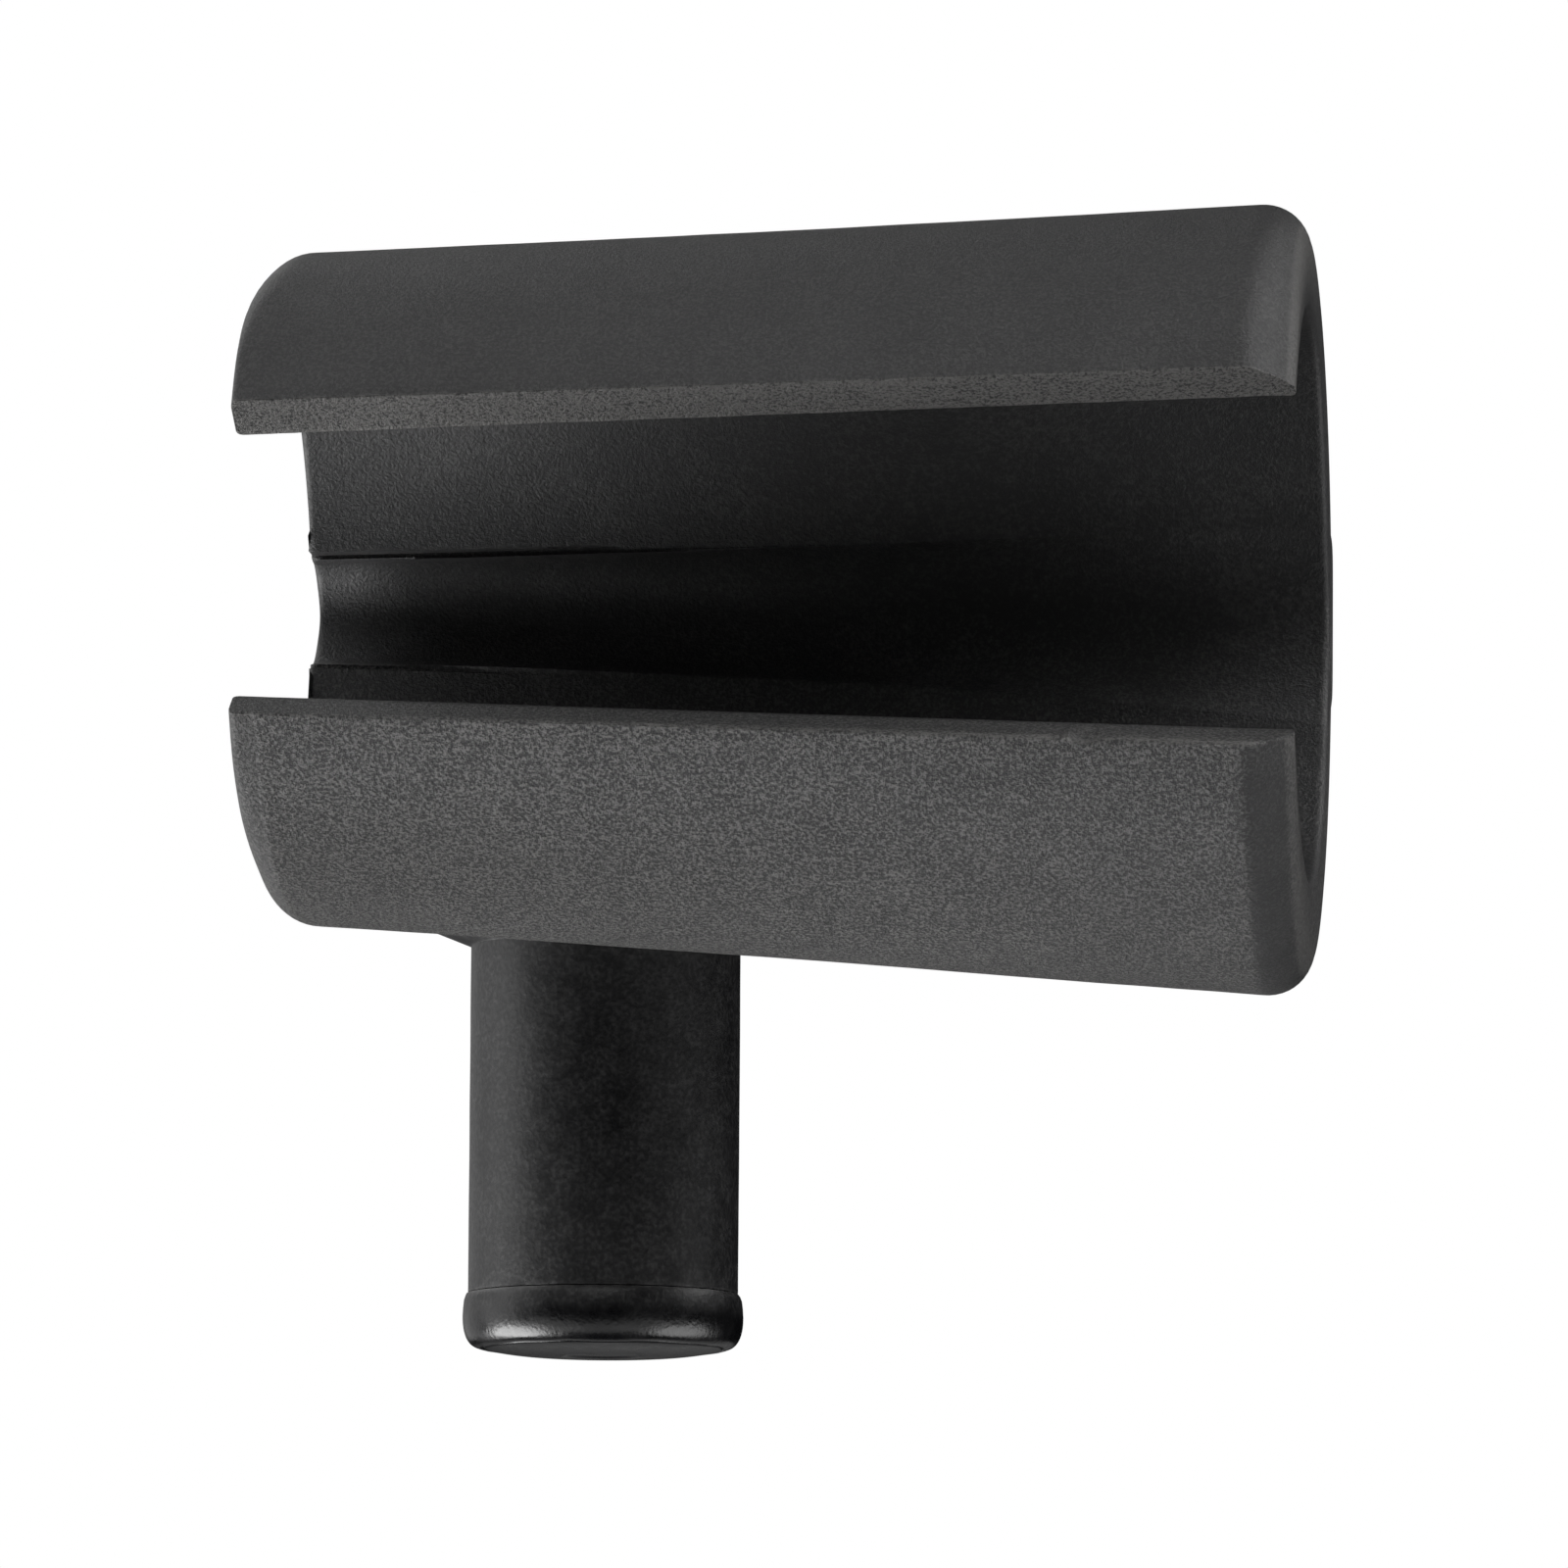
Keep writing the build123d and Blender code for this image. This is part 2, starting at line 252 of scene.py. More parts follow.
def station_places(place):
    """x and the depth from the nearer end, for every station and spoke."""
    small_rim, large_rim = end_depths(SMALL_X, 1, place), end_depths(LARGE_X, -1, place)
    straight = np.linspace(SMALL_X + END_ROUND + END_MARGIN, LARGE_X - END_ROUND - END_MARGIN,
                           STATIONS)
    crowding = 1.6                 # of the stations towards the rim
    share = (np.arange(END_STATIONS) / END_STATIONS)[:, None] ** crowding
    inner = END_ROUND + END_MARGIN
    small = SMALL_X + small_rim + (inner - small_rim) * share
    large = (LARGE_X - large_rim - (inner - large_rim) * share)[::-1]
    x = np.concatenate([small, straight[:, None] + 0 * place, large])
    return x, np.minimum(x - SMALL_X, LARGE_X - x)


def round_corners(loop, corners, reach, passes):
    """Smooths a closed loop of points only near its corners, which rounds them."""
    count = loop.shape[1]
    index = np.arange(count)
    weight = np.zeros(count)
    for corner in corners:
        gap = np.minimum((index - corner) % count, (corner - index) % count)
        weight = np.maximum(weight, np.clip(1 - gap / reach, 0, 1))
    weight = weight[None, :, None]
    for _ in range(passes):
        mean = (np.roll(loop, 1, axis=1) + np.roll(loop, -1, axis=1)) / 2
        loop = loop + 0.5 * weight * (mean - loop)
    return loop


def away_from_axis(points):
    """Unit vectors from the tube's axis to the points, across the sleeve."""
    across = points[..., 1:]
    return across / np.linalg.norm(across, axis=-1, keepdims=True)


def lip_flash(loop, corners):
    """Flash that stands out of the lips' edges. It comes and goes along the sleeve."""
    stations = loop[:, 0, 0]
    forwards, apart = 0.8, 0.5     # the shares of its height that it stands out by each way
    lower_outer, upper_outer, upper_inner, lower_inner = corners
    for corner, seed, height in ((lower_outer, 3, 0.10), (upper_outer, 5, 0.07),
                                 (upper_inner, 8, 0.06), (lower_inner, 9, 0.05)):
        ragged = wander_1d(stations, 2.6, seed) + 0.6 * wander_1d(stations, 0.8, seed + 20)
        burr = height * np.clip(0.35 + ragged, 0, 1.3)
        for step in range(-2, 3):
            share = np.exp(-(step / 1.3) ** 2)
            row = (corner + step) % loop.shape[1]
            loop[:, row, 1] -= burr * share * forwards
            loop[:, row, 2] += burr * share * apart * np.sign(loop[:, row, 2])


def groove_ridges(loop, groove_low, groove_high):
    """The groove's edges stand up as thin ridges, which fade out by the middle."""
    stations = loop[:, 0, 0]
    full_until, gone_by = 9, 27
    fade = 1 - smooth_step(stations - SMALL_X, full_until, gone_by)
    for edge, seed, height in ((groove_high, 11, 0.16), (groove_low, 12, 0.08)):
        ridge = height * fade * (1 + 0.35 * wander_1d(stations, 1.7, seed))
        for step in range(-2, 3):
            share = np.exp(-(step / 1.2) ** 2)
            row = loop[:, edge + step]
            row[:, 1:] -= (ridge * share)[:, None] * away_from_axis(row)


def uneven_skin(loop, outside):
    """Slight waves in the outside, as thick mouldings have. outside is a slice of the loop."""
    skin = loop[:, outside]
    from_end = np.minimum(skin[:, :, 0] - SMALL_X, LARGE_X - skin[:, :, 0])
    waves = 0.035 * wander(skin, 9.0, 1) + 0.012 * wander(skin, 2.5, 2)
    waves = waves * smooth_step(from_end, 0.0, 2.0)
    skin[:, :, 1:] += waves[:, :, None] * away_from_axis(skin)


def nick(loop, corner):
    """A small chip in the lower lip's outer edge, towards the large end, with a raised burr."""
    chip_x, chip_depth, long_side, short_side = 23.3, 0.28, 0.7, 0.25
    burr_back, burr_height, burr_reach = 0.45, 0.16, 0.16
    for step in range(-6, 7):
        row = (corner + step) % loop.shape[1]
        from_chip = loop[:, row, 0] - chip_x
        reach = np.where(from_chip > 0, long_side, short_side)
        sunk = chip_depth * np.exp(-((from_chip / reach) ** 2))
        raised = burr_height * np.exp(-(((from_chip + burr_back) / burr_reach) ** 2))
        loop[:, row, 2] += raised - sunk


def grid_mesh(name, loop, closed_ends):
    """A mesh from closed loops of points, in order. closed_ends makes the faces that end it."""
    stations, count = loop.shape[:2]
    index = np.arange(stations * count).reshape(stations, count)
    faces = []
    for i in range(stations - 1):
        here, there = index[i], index[i + 1]
        ring = np.stack([here, there, np.roll(there, -1), np.roll(here, -1)], axis=1)
        faces.extend(ring.tolist())
    faces.extend(closed_ends(index))
    mesh = bpy.data.meshes.new(name)
    mesh.from_pydata((loop.reshape(-1, 3) * MM).tolist(), [], faces)
    bm = bmesh.new()
    bm.from_mesh(mesh)
    bmesh.ops.recalc_face_normals(bm, faces=bm.faces)
    bm.to_mesh(mesh)
    bm.free()
    return mesh


def flat_ends(index):
    """A face over the first loop and a face over the last."""
    return [index[0][::-1].tolist(), index[-1].tolist()]


def sleeve_ends(index):
    """The rims at both ends: quads from the outside to the bore, and a face at each lip."""
    faces = []
    for row in (index[0], index[-1]):
        outer = row[:SPOKES]
        upper_lip = row[SPOKES:SPOKES + LIP_POINTS]
        bore = row[SPOKES + LIP_POINTS:2 * SPOKES + LIP_POINTS][::-1]
        lower_lip = row[2 * SPOKES + LIP_POINTS:]
        for k in range(1, SPOKES - 2):
            faces.append([outer[k], outer[k + 1], bore[k + 1], bore[k]])
        faces.append([bore[1], bore[0], *lower_lip, outer[0], outer[1]])
        faces.append([outer[-2], outer[-1], *upper_lip, bore[-1], bore[-2]])
    return [[int(v) for v in face] for face in faces]


def sleeve_mesh():
    """The C-shaped sleeve without its boss."""
    beside = 0.006                 # the crowding is just outside the spine's edges
    marks = (0, BREAK - beside, 1 - BREAK + beside, 1)
    place = graded(marks, SPOKES, crowding=7, reach=0.008)
    x, depth = station_places(place)
    (outer_y, outer_z), (bore_y, bore_z) = sleeve_spokes(x, depth, 0 * x + place[None, :])
    outside = np.stack([x, outer_y, outer_z], axis=2)
    bore = np.stack([x, bore_y, bore_z], axis=2)[:, ::-1]
    across = graded((0, 1), LIP_POINTS + 2, 5, 0.12)[1:-1][None, :, None]
    upper_lip = outside[:, -1:] * (1 - across) + bore[:, :1] * across
    lower_lip = bore[:, -1:] * (1 - across) + outside[:, :1] * across
    loop = np.concatenate([outside, upper_lip, bore, lower_lip], axis=1)

    bore_start = SPOKES + LIP_POINTS
    corners = (0, SPOKES - 1, bore_start, bore_start + SPOKES - 1)
    edge = int(np.argmin(np.abs(place - BREAK)))
    groove_low, groove_high = bore_start + SPOKES - 1 - edge, bore_start + edge
    clear_of_lips = 6
    loop = round_corners(loop, corners, reach=5, passes=10)
    lip_flash(loop, corners)
    groove_ridges(loop, groove_low, groove_high)
    uneven_skin(loop, slice(clear_of_lips, SPOKES - clear_of_lips))
    nick(loop, corners[0])
    return grid_mesh("sleeve", loop, sleeve_ends)


def link(name, data):
    """A new object for a mesh, a light or a camera, linked to the scene."""
    made = bpy.data.objects.new(name, data)
    bpy.context.scene.collection.objects.link(made)
    return made


def disc_solid(name, profile, segments=160):
    """A closed solid turned about the spigot's axis, from (radius, z) points, as an object."""
    bm = bmesh.new()
    rings = []
    for radius, z in profile:
        ring = []
        for k in range(segments):
            angle = 2 * np.pi * k / segments
            place = Vector((radius * np.cos(angle), POST_Y + radius * np.sin(angle), z)) * MM
            ring.append(bm.verts.new(place))
        rings.append(ring)
    for low, high in zip(rings, rings[1:]):
        for k in range(segments):
            bm.faces.new((low[k], low[(k + 1) % segments], high[(k + 1) % segments], high[k]))
    bm.faces.new(rings[0][::-1])
    bm.faces.new(rings[-1])
    bmesh.ops.recalc_face_normals(bm, faces=bm.faces)
    mesh = bpy.data.meshes.new(name)
    bm.to_mesh(mesh)
    bm.free()
    return link(name, mesh)


def cut(piece, tool, operation):
    """Applies a boolean with the tool to the piece, and removes the tool."""
    modifier = piece.modifiers.new("cut", "BOOLEAN")
    modifier.operation, modifier.object, modifier.solver = operation, tool, "EXACT"
    bpy.context.view_layer.update()
    result = bpy.data.meshes.new_from_object(
        piece.evaluated_get(bpy.context.evaluated_depsgraph_get()))
    piece.modifiers.clear()
    piece.data = result
    bpy.data.objects.remove(tool)


def boss_solid():
    """The swivel boss behind the sleeve, a cylinder that tapers up into the spine."""
    shoulder_z, top_z, top_r = -7.0, 2.6, 2.7
    edge, hollow = 0.35, 0.5       # the rounding of its lower edge, and how far the taper sinks
    profile = [(BOSS_R - edge, BOSS_UNDER_Z), (BOSS_R - edge * 0.3, BOSS_UNDER_Z + edge * 0.3),
               (BOSS_R, BOSS_UNDER_Z + edge), (BOSS_R, shoulder_z)]
    for share in np.linspace(0.12, 1, 9):
        radius = BOSS_R + (top_r - BOSS_R) * share - hollow * np.sin(np.pi * share)
        profile.append((radius, shoulder_z + (top_z - shoulder_z) * share))
    return disc_solid("boss", profile)


def bore_solid():
    """What keeps the boss out of the bore and out of its groove."""
    angle = np.linspace(0, 2 * np.pi, 180, endpoint=False)[None, :]
    x = np.linspace(SMALL_X - 1, LARGE_X + 1, 60)[:, None] + 0 * angle
    y, z = bore_point(x, 0 * x + END_ROUND, angle + 0 * x)
    clearance = 0.02
    grown = 1 + clearance / TUBE_R
    loop = np.stack([x, y * grown, z * grown], axis=2)
    return link("bore", grid_mesh("bore", loop, flat_ends))


def build_sleeve():
    """The sleeve with its boss, the pocket for the flange and the hole for the insert."""
    sleeve = link("grained_sleeve", sleeve_mesh())
    boss = boss_solid()
    cut(boss, bore_solid(), "DIFFERENCE")
    cut(sleeve, boss, "UNION")
    pocket = [(POCKET_R, BOSS_UNDER_Z - POCKET_DEPTH), (POCKET_R, BOSS_UNDER_Z)]
    cut(sleeve, disc_solid("pocket", pocket), "DIFFERENCE")
    insert_r = (insert_high[0] - insert_low[0]) / 2
    hole = [(insert_r, BOSS_UNDER_Z - 1), (insert_r, insert_high[2])]
    cut(sleeve, disc_solid("hole", hole), "DIFFERENCE")
    return sleeve


# ---- Camera, light and floor --------------------------------------------------------------

SOFTBOX_SIZE, SOFTBOX_DISTANCE = 0.32, 0.4
LIT_POINT = Vector((0.0095, 0, -0.006))
FLOOR_Z, FLOOR_HALF_SIZE = -0.45, 3.0

# Each softbox: its name, the degrees round from the front towards the large end, the degrees
# above the level, and its watts.
SOFTBOXES = (
    ("low_left", -90, -40, 2.86),
    ("high_right", 90, 40, 1.5),
    ("low_right", 90, -40, 1.0),
    ("high_front", 0, 50, 0.84),
    ("high_left", -90, 40, 0.48),
    ("high_back", -135, 40, 0.38),
    ("level_left", -90, 0, 0.31),
    ("front_left", -45, -35, 0.24),
    ("front_right", 45, -35, 0.18),
    ("low_front", 0, -45, 0.18),
    ("back_left", -135, 0, 0.13),
    ("under_back", 180, -35, 0.06),
)


def aim_camera():
    """A long lens in front of the clip, a little towards its large end and a little below."""
    yaw, rise, roll = np.radians(5.769), np.radians(6.14), np.radians(0.377)
    distance, lens, sensor = 622.7, 327.8, 36.0
    aim_drop, aim_x = 8.093, 9.287
    level = Vector((np.cos(yaw), np.sin(yaw), 0))
    ahead = Vector((-np.sin(yaw) * np.cos(rise), np.cos(yaw) * np.cos(rise), np.sin(rise)))
    upright = level.cross(ahead)
    right = level * np.cos(roll) + upright * np.sin(roll)
    up = upright * np.cos(roll) - level * np.sin(roll)
    place = (Vector((aim_x, 0, 0)) - up * aim_drop - ahead * distance) * MM
    data = bpy.data.cameras.new("camera")
    data.lens, data.sensor_width = lens, sensor
    data.clip_start, data.clip_end = 0.01, 20
    camera = link("camera", data)
    camera.matrix_world = Matrix.Translation(place) @ Matrix((right, up, -ahead)).transposed(
        ).to_4x4()
    bpy.context.scene.camera = camera


def make_world():
    """White surroundings, which only the camera sees. The softboxes light the clip."""
    world = bpy.data.worlds.new("studio")
    world.use_nodes = True
    bpy.context.scene.world = world
    tree = world.node_tree
    tree.nodes.clear()
    path = tree.nodes.new("ShaderNodeLightPath")
    background = tree.nodes.new("ShaderNodeBackground")
    background.inputs["Color"].default_value = (1, 1, 1, 1)
    tree.links.new(path.outputs["Is Camera Ray"], background.inputs["Strength"])
    output = tree.nodes.new("ShaderNodeOutputWorld")
    tree.links.new(background.outputs[0], output.inputs["Surface"])


def softbox(name, around, above, power):
    """A round area light aimed at the clip, which the camera doesn't see."""
    data = bpy.data.lights.new(name, "AREA")
    data.shape, data.size, data.energy = "DISK", SOFTBOX_SIZE, power
    light = link(name, data)
    light.visible_camera = False
    turn, lift = np.radians(around), np.radians(above)
    away = Vector((np.sin(turn) * np.cos(lift), -np.cos(turn) * np.cos(lift), np.sin(lift)))
    light.location = LIT_POINT + away * SOFTBOX_DISTANCE
    light.rotation_mode = "QUATERNION"
    light.rotation_quaternion = (-away).to_track_quat("-Z", "Y")


def make_floor():
    """A pale floor well below the clip, which throws no light back onto it."""
    bm = bmesh.new()
    bmesh.ops.create_grid(bm, x_segments=8, y_segments=8, size=FLOOR_HALF_SIZE)
    mesh = bpy.data.meshes.new("floor")
    bm.to_mesh(mesh)
    bm.free()
    floor = link("floor", mesh)
    floor.location = (0, 0, FLOOR_Z)
    pale = new_material("pale_floor")
    shader = pale.node_tree.nodes["Principled BSDF"]
    shader.inputs["Roughness"].default_value = 0.8
    shade = noise_node(pale, 3.0, 3)
    ramp(pale, shade, shader.inputs["Base Color"], (0.5, 0.5, 0.5), (0.54, 0.54, 0.54))
    shader.inputs["Emission Color"].default_value = (1, 1, 1, 1)
    shader.inputs["Emission Strength"].default_value = 0.9
    floor.data.materials.append(pale)
    floor.visible_diffuse = floor.visible_glossy = False


# ---- Materials ----------------------------------------------------------------------------

def new_material(name):
    """A material with its Principled shader."""
    material = bpy.data.materials.new(name)
    material.use_nodes = True
    return material


def add(material, kind, **inputs):
    """A node of a kind, with some of its inputs set by name."""
    node = material.node_tree.nodes.new(kind)
    for name, value in inputs.items():
        node.inputs[name.replace("_", " ")].default_value = value
    return node


def wire(material, output, socket):
    """Links one node's output to another's input."""
    material.node_tree.links.new(output, socket)


def place_vector(material, stretch=(1, 1, 1), turn=(0, 0, 0)):
    """Object coordinates, stretched and turned."""
    coords = add(material, "ShaderNodeTexCoord")
    mapping = add(material, "ShaderNodeMapping")
    mapping.inputs["Scale"].default_value = stretch
    mapping.inputs["Rotation"].default_value = turn
    wire(material, coords.outputs["Object"], mapping.inputs["Vector"])
    return mapping.outputs["Vector"]


def noise_node(material, size, detail, stretch=(1, 1, 1), turn=(0, 0, 0), rough=0.55):
    """Noise whose bumps are about size metres across."""
    node = add(material, "ShaderNodeTexNoise", Scale=1 / size, Detail=detail, Roughness=rough)
    wire(material, place_vector(material, stretch, turn), node.inputs["Vector"])
    return node.outputs["Fac"]


def spread(material, value, low, high, to_low=0.0, to_high=1.0):
    """A value stretched from one range to another."""
    node = add(material, "ShaderNodeMapRange")
    for name, number in (("From Min", low), ("From Max", high),
                         ("To Min", to_low), ("To Max", to_high)):
        node.inputs[name].default_value = number
    wire(material, value, node.inputs["Value"])
    return node.outputs["Result"]


def combine(material, operation, first, second):
    """A Math node on two values, each a socket or a number."""
    node = add(material, "ShaderNodeMath")
    node.operation = operation
    for value, socket in ((first, node.inputs[0]), (second, node.inputs[1])):
        if isinstance(value, (int, float)):
            socket.default_value = value
        else:
            wire(material, value, socket)
    return node.outputs[0]


def ramp(material, value, socket, low, high):
    """Wires a colour that runs from low to high with a value into a socket."""
    node = add(material, "ShaderNodeMix")
    node.data_type = "RGBA"
    colours_in = [s for s in node.inputs if s.type == "RGBA"]
    for colour_in, colour in zip(colours_in, (low, high)):
        colour_in.default_value = (*colour, 1)
    wire(material, value, node.inputs["Factor"])
    colour_out = [s for s in node.outputs if s.type == "RGBA"][0]
    wire(material, colour_out, socket)


def attribute(material, name):
    """A number stored on the mesh."""
    node = add(material, "ShaderNodeAttribute")
    node.attribute_name = name
    return node.outputs["Fac"]


def bump(material, height, distance, strength=1.0, onto=None):
    """A bump from a height, on top of another bump."""
    node = add(material, "ShaderNodeBump", Strength=strength, Distance=distance)
    wire(material, height, node.inputs["Height"])
    if onto is not None:
        wire(material, onto, node.inputs["Normal"])
    return node.outputs["Normal"]


def grained_nylon():
    """Black nylon from a spark-eroded mould: coarse below, fine above, smoother in the bore."""
    grain_size, mottle_size, patch_size = 0.00015, 0.0003, 0.0035
    grain_bump, mottle_bump, stroke_bump = 0.00028, 0.00004, 0.00007
    stroke_shape, stroke_turn = (1.0, 0.14, 0.14), (0, 0.45, 0)
    black, pale = (0.005, 0.005, 0.0056), (0.085, 0.083, 0.08)
    material = new_material("grained_nylon")
    shader = material.node_tree.nodes["Principled BSDF"]
    coarse, bore = attribute(material, "coarse"), attribute(material, "bore")
    rub_and_painted_light, scuff = attribute(material, "rub_and_painted_light"), attribute(material, "scuff")
    grain = noise_node(material, grain_size, 3, rough=0.75)
    patches = noise_node(material, patch_size, 4, rough=0.6)
    mottle = noise_node(material, mottle_size, 3, rough=0.6)
    strokes = noise_node(material, grain_size, 1, stretch=stroke_shape, turn=stroke_turn)

    # How pale the skin is: the grain's peaks, clouds, worn places with painted light on the upper
    # lip, the tone with painted shade and a painted highlight at the large end, the scuffs and the
    # bore's stain.
    peaks = spread(material, grain, 0.42, 0.6, -0.6, 1.75)
    peaks = combine(material, "MULTIPLY", peaks, coarse)
    cloud = combine(material, "MULTIPLY", spread(material, patches, 0.3, 0.7, -0.16, 0.16), coarse)
    worn_and_painted_light = combine(material, "MULTIPLY", rub_and_painted_light, spread(material, mottle, 0.35, 0.65, 0.45, 1.25))
    strokes = combine(material, "MULTIPLY", spread(material, strokes, 0.48, 0.64), scuff)
    strokes = combine(material, "MULTIPLY", strokes,
                      spread(material, patches, 0.36, 0.55, 0.2, 1.0))
    pale_strokes = combine(material, "MULTIPLY", strokes, 0.9)
    stain = combine(material, "ADD", spread(material, mottle, 0.36, 0.7, -0.08, 0.16),
                    spread(material, patches, 0.35, 0.65, -0.06, 0.07))
    stain = combine(material, "MULTIPLY", bore, stain)
    light = peaks
    for part in (cloud, worn_and_painted_light, attribute(material, "tone_and_painted_light"), pale_strokes, stain):
        light = combine(material, "ADD", light, part)
    ramp(material, light, shader.inputs["Base Color"], black, pale)

    matt = combine(material, "SUBTRACT", spread(material, patches, 0.3, 0.7, 0.6, 0.52),
                   combine(material, "MULTIPLY", peaks, 0.15))
    wire(material, matt, shader.inputs["Roughness"])

    depth = combine(material, "MULTIPLY", grain, spread(material, coarse, 0, 1, 0.1, 1.0))
    normal = bump(material, depth, grain_bump, 1.0)
    normal = bump(material, mottle, mottle_bump, 0.5, normal)
    normal = bump(material, strokes, stroke_bump, 0.6, normal)
    wire(material, normal, shader.inputs["Normal"])
    return material


def satin_nylon(name):
    """Smooth black nylon with a faint mottle and fine pale specks of dust and wear."""
    mottle_size, speck_size, broad_size = 0.0011, 0.00021, 0.005
    mottle_bump, speck_bump = 0.00004, 0.000025
    black, pale = (0.0012, 0.0012, 0.0017), (0.075, 0.074, 0.074)
    glossy, satin = 0.24, 0.4      # the roughness where matt is 0, and where it is 1
    material = new_material(name)
    shader = material.node_tree.nodes["Principled BSDF"]
    mottle = noise_node(material, mottle_size, 4, rough=0.65)
    specks = noise_node(material, speck_size, 1, rough=0.5)
    broad = noise_node(material, broad_size, 2)
    worn_and_painted_light = combine(material, "MULTIPLY", spread(material, specks, 0.4, 0.75, 0, 0.62),
                   spread(material, mottle, 0.34, 0.6, 0.4, 1.0))
    rub_and_painted_light, matt = attribute(material, "rub_and_painted_light"), attribute(material, "matt")
    light = combine(material, "ADD", combine(material, "MULTIPLY", worn_and_painted_light, matt), rub_and_painted_light)
    light = combine(material, "ADD", light, spread(material, broad, 0.35, 0.7, -0.02, 0.05))
    light = combine(material, "MULTIPLY", light, 0.5)
    ramp(material, light, shader.inputs["Base Color"], black, pale)
    rough = combine(material, "ADD", spread(material, matt, 0, 1, glossy, satin),
                    spread(material, mottle, 0.3, 0.7, 0, 0.12))
    wire(material, rough, shader.inputs["Roughness"])
    normal = bump(material, mottle, mottle_bump, 0.35)
    normal = bump(material, specks, speck_bump, 0.6, normal)
    wire(material, normal, shader.inputs["Normal"])
    return material


def turned_metal(name, colour, dark, rough):
    """Metal turned on a lathe about an upright axis, with fine rings and slight staining."""
    material = new_material(name)
    shader = material.node_tree.nodes["Principled BSDF"]
    shader.inputs["Metallic"].default_value = 1.0
    ring_size, stain_size, ring_bump = 0.0006, 0.002, 0.00001
    rings = noise_node(material, ring_size, 2, stretch=(0.15, 0.15, 6))
    stain = noise_node(material, stain_size, 4)
    ramp(material, spread(material, stain, 0.35, 0.75), shader.inputs["Base Color"], colour, dark)
    wire(material, spread(material, rings, 0.3, 0.7, rough, rough + 0.15),
         shader.inputs["Roughness"])
    wire(material, bump(material, rings, ring_bump, 0.6), shader.inputs["Normal"])
    return material


def acetal():
    """Natural acetal, slightly yellowed and scuffed."""
    material = new_material("acetal")
    shader = material.node_tree.nodes["Principled BSDF"]
    scuff_size, scuff_bump = 0.0008, 0.00002
    scuffs = noise_node(material, scuff_size, 4)
    ramp(material, spread(material, scuffs, 0.35, 0.7), shader.inputs["Base Color"],
         (0.78, 0.77, 0.72), (0.68, 0.66, 0.6))
    wire(material, spread(material, scuffs, 0.3, 0.7, 0.28, 0.42), shader.inputs["Roughness"])
    wire(material, bump(material, scuffs, scuff_bump, 0.5), shader.inputs["Normal"])
    return material


# ---- The sleeve's painted numbers ---------------------------------------------------------

MOUTH_Y = -7                   # in front of this, a point near a lip's plane is on the lip


def points_of(mesh):
    """A mesh's vertices, in millimetres."""
    flat = np.zeros(len(mesh.vertices) * 3)
    mesh.vertices.foreach_get("co", flat)
    return flat.reshape(-1, 3) / MM


def store(mesh, name, values):
    """Stores one number for each vertex."""
    made = mesh.attributes.new(name, "FLOAT", "POINT")
    made.data.foreach_set("value", values.astype(np.float32))


def within(distance, reach, soft):
    """1 where a distance is less than the reach and 0 where it is more, with a soft edge."""
    return 1 - smooth_step(distance, reach - soft, reach + soft)


def bore_share(x, y, z):
    """1 in the bore and its groove, and 0 outside."""
    in_bore = within(np.hypot(y, z), TUBE_R + 0.3, 0.2)
    half_width, floor_y = along(x, GROOVE_WIDTH), TUBE_R + along(x, GROOVE_DEPTH)
    in_groove = (y > 10) & (np.abs(z - along(x, GROOVE_RISE)) < half_width) & (y < floor_y + 0.1)
    return np.maximum(in_bore, in_groove.astype(float))


def distance_from_lip(x, y, z):
    """How far each point is from the plane of the lip of its jaw."""
    gap, slope = along(x, LIP_GAP), along(x, LIP_SLOPE)
    lip_y = -np.sqrt(TUBE_R ** 2 - (gap / 2) ** 2)
    plane = gap / 2 + slope * (lip_y - y)
    return (np.abs(z - MOUTH_RISE) - plane) / np.sqrt(1 + slope ** 2)


def lip_rub_and_painted_light(x, y, z, from_lip, on_lip):
    """The lips are rubbed, the upper one most, and its face carries painted light from below too;
    their edges are pale broken lines.
    """
    radius, upper = np.hypot(y, z), z > MOUTH_RISE
    outer = smooth_step(radius, TUBE_R + 1.9, TUBE_R + 2.2)
    inner = within(radius, TUBE_R + 0.15, 0.1)
    edge = np.exp(-((from_lip / 0.13) ** 2)) * (y < MOUTH_Y)
    broken = np.clip(0.5 + 1.4 * wander_1d(x, 1.1, 61), 0, 1)
    bright = np.exp(-(((x - 15.7) / 1.9) ** 2))
    middle = np.exp(-(((x - 8) / 9.0) ** 2))
    # Painted light: the upper lip's face, which faces down towards the light from below, is painted
    # paler on top of its rubbed wear.
    face = on_lip * upper * (0.72 + 0.28 * middle + 0.6 * bright * outer)
    return np.maximum(face, edge * np.maximum(outer, inner * upper) * (0.45 + 0.5 * broken))


